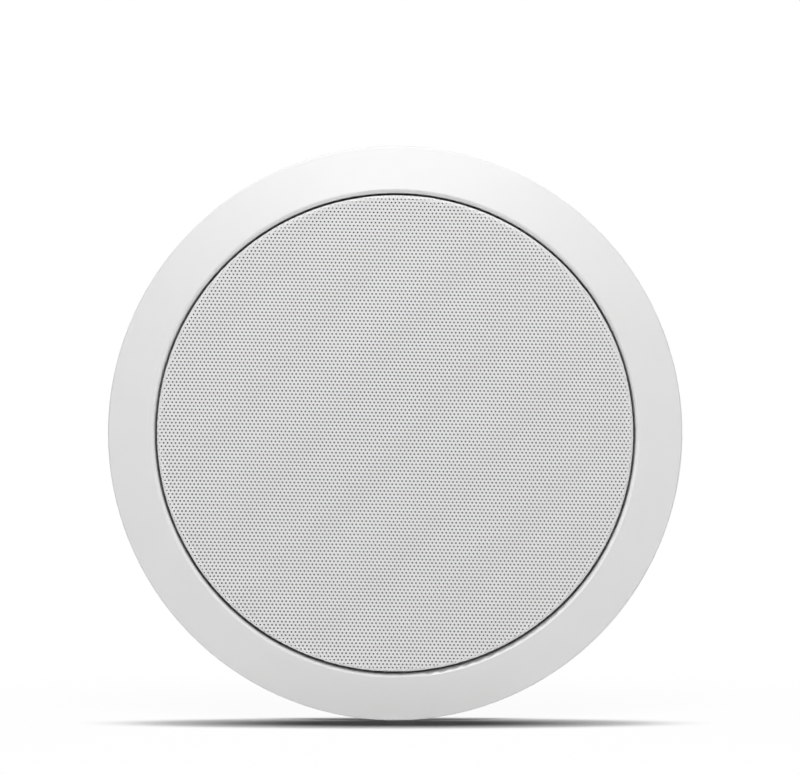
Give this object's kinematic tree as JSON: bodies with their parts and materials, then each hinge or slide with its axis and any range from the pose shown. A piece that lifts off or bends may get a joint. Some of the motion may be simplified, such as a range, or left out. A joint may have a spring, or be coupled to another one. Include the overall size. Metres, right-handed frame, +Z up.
{
  "type": "in-ceiling speaker",
  "caption": "Round flush ceiling loudspeaker: white bezel, perforated grille, woofer with a bridged tweeter, crossover and screw-driven swing-out clamps behind the flange.",
  "frame": {"origin": "centre of the barrel in the plane of the flange's back face, which lies on the ceiling", "axes": "+Y is the speaker's axis, into the ceiling (the front faces -Y); +Z is up in the picture; +X is to the right seen from the front"},
  "size_m": [0.23, 0.0806, 0.23],
  "materials": {
    "white_abs": "satin white moulded plastic",
    "white_paint": "white powder coat",
    "black_cloth": "thin black acoustic cloth",
    "foam": "closed-cell foam tape",
    "black_steel": "black stoved steel",
    "rubber": "matt butyl rubber",
    "cone": "dark grey filled polypropylene",
    "kapton": "amber film",
    "copper": "enamelled copper wire",
    "spider": "resin-stiffened cloth",
    "zinc": "zinc-plated steel",
    "ferrite": "dark ferrite",
    "phenolic": "brown phenolic sheet",
    "brass": "plain brass",
    "black_abs": "matt black moulded plastic",
    "silk": "doped silk",
    "grey_nylon": "natural grey glass-filled nylon",
    "pcb": "green solder resist",
    "capacitor": "yellow film sleeve",
    "ceramic": "white cement",
    "red_abs": "red moulded plastic"
  },
  "bodies": {
    "frame": {"bezel_frame": "white_abs", "grille": "white_paint", "grille_cloth": "black_cloth", "woofer_gasket": "foam", "woofer_basket": "black_steel", "woofer_surround": "rubber", "spider": "spider", "top_plate": "zinc", "magnet": "ferrite", "yoke": "zinc", "woofer_screws": "zinc", "woofer_terminal": "phenolic", "woofer_lugs": "brass", "tweeter_bridge": "black_abs", "bridge_screws": "zinc", "tweeter_face": "black_abs", "tweeter_dome": "silk", "tweeter_cup": "black_steel", "tweeter_magnet": "zinc", "tweeter_plate": "zinc", "crossover_board": "pcb", "board_screws": "zinc", "woofer_choke": "copper", "tweeter_choke": "copper", "capacitor": "capacitor", "resistor": "ceramic", "terminal_block": "black_abs"},
    "cone": {"woofer_cone": "cone", "dust_cap": "cone", "coil_former": "kapton", "voice_coil": "copper"},
    "red_post": {"post_red": "red_abs"},
    "black_post": {"post_black": "black_abs"},
    "screw_1": {"clamp_screw_1": "zinc"},
    "bush_1": {"clamp_bush_1": "brass"},
    "leg_1": {"clamp_leg_1": "grey_nylon"},
    "screw_2": {"clamp_screw_2": "zinc"},
    "bush_2": {"clamp_bush_2": "brass"},
    "leg_2": {"clamp_leg_2": "grey_nylon"},
    "screw_3": {"clamp_screw_3": "zinc"},
    "bush_3": {"clamp_bush_3": "brass"},
    "leg_3": {"clamp_leg_3": "grey_nylon"},
    "screw_4": {"clamp_screw_4": "zinc"},
    "bush_4": {"clamp_bush_4": "brass"},
    "leg_4": {"clamp_leg_4": "grey_nylon"}
  },
  "joints": [
    {"name": "cone_travel", "type": "slide", "parent": "frame", "child": "cone", "axis": [0, 1, 0], "range_m": [-0.004, 0.004], "stiffness_N_per_m": 1250, "deforming": ["woofer_surround", "spider"]},
    {"name": "screw_1_turn", "type": "hinge", "parent": "frame", "child": "screw_1", "pos_m": [0.06293, 0.005, 0.06293], "axis": [0, 1, 0], "range_deg": [0, 6685.71]},
    {"name": "bush_1_travel", "type": "slide", "parent": "frame", "child": "bush_1", "axis": [0, -1, 0], "range_m": [0, 0.026]},
    {"name": "leg_1_swing", "type": "hinge", "parent": "bush_1", "child": "leg_1", "pos_m": [0.06293, 0.044, 0.06293], "axis": [0, 1, 0], "range_deg": [0, 90]},
    {"name": "screw_2_turn", "type": "hinge", "parent": "frame", "child": "screw_2", "pos_m": [-0.06293, 0.005, 0.06293], "axis": [0, 1, 0], "range_deg": [0, 6685.71]},
    {"name": "bush_2_travel", "type": "slide", "parent": "frame", "child": "bush_2", "axis": [0, -1, 0], "range_m": [0, 0.026]},
    {"name": "leg_2_swing", "type": "hinge", "parent": "bush_2", "child": "leg_2", "pos_m": [-0.06293, 0.044, 0.06293], "axis": [0, 1, 0], "range_deg": [0, 90]},
    {"name": "screw_3_turn", "type": "hinge", "parent": "frame", "child": "screw_3", "pos_m": [-0.06293, 0.005, -0.06293], "axis": [0, 1, 0], "range_deg": [0, 6685.71]},
    {"name": "bush_3_travel", "type": "slide", "parent": "frame", "child": "bush_3", "axis": [0, -1, 0], "range_m": [0, 0.026]},
    {"name": "leg_3_swing", "type": "hinge", "parent": "bush_3", "child": "leg_3", "pos_m": [-0.06293, 0.044, -0.06293], "axis": [0, 1, 0], "range_deg": [0, 90]},
    {"name": "screw_4_turn", "type": "hinge", "parent": "frame", "child": "screw_4", "pos_m": [0.06293, 0.005, -0.06293], "axis": [0, 1, 0], "range_deg": [0, 6685.71]},
    {"name": "bush_4_travel", "type": "slide", "parent": "frame", "child": "bush_4", "axis": [0, -1, 0], "range_m": [0, 0.026]},
    {"name": "leg_4_swing", "type": "hinge", "parent": "bush_4", "child": "leg_4", "pos_m": [0.06293, 0.044, -0.06293], "axis": [0, 1, 0], "range_deg": [0, 90]},
    {"name": "red_post_press", "type": "slide", "parent": "frame", "child": "red_post", "axis": [0, -1, 0], "range_m": [0, 0.004], "stiffness_N_per_m": 500, "springref_m": -0.002},
    {"name": "black_post_press", "type": "slide", "parent": "frame", "child": "black_post", "axis": [0, -1, 0], "range_m": [0, 0.004], "stiffness_N_per_m": 500, "springref_m": -0.002}
  ],
  "couplings": [
    {"joint": "screw_1_turn", "follows": "bush_1_travel", "rad_per_m": 4487.9},
    {"joint": "screw_2_turn", "follows": "bush_2_travel", "rad_per_m": 4487.9},
    {"joint": "screw_3_turn", "follows": "bush_3_travel", "rad_per_m": 4487.9},
    {"joint": "screw_4_turn", "follows": "bush_4_travel", "rad_per_m": 4487.9}
  ]
}
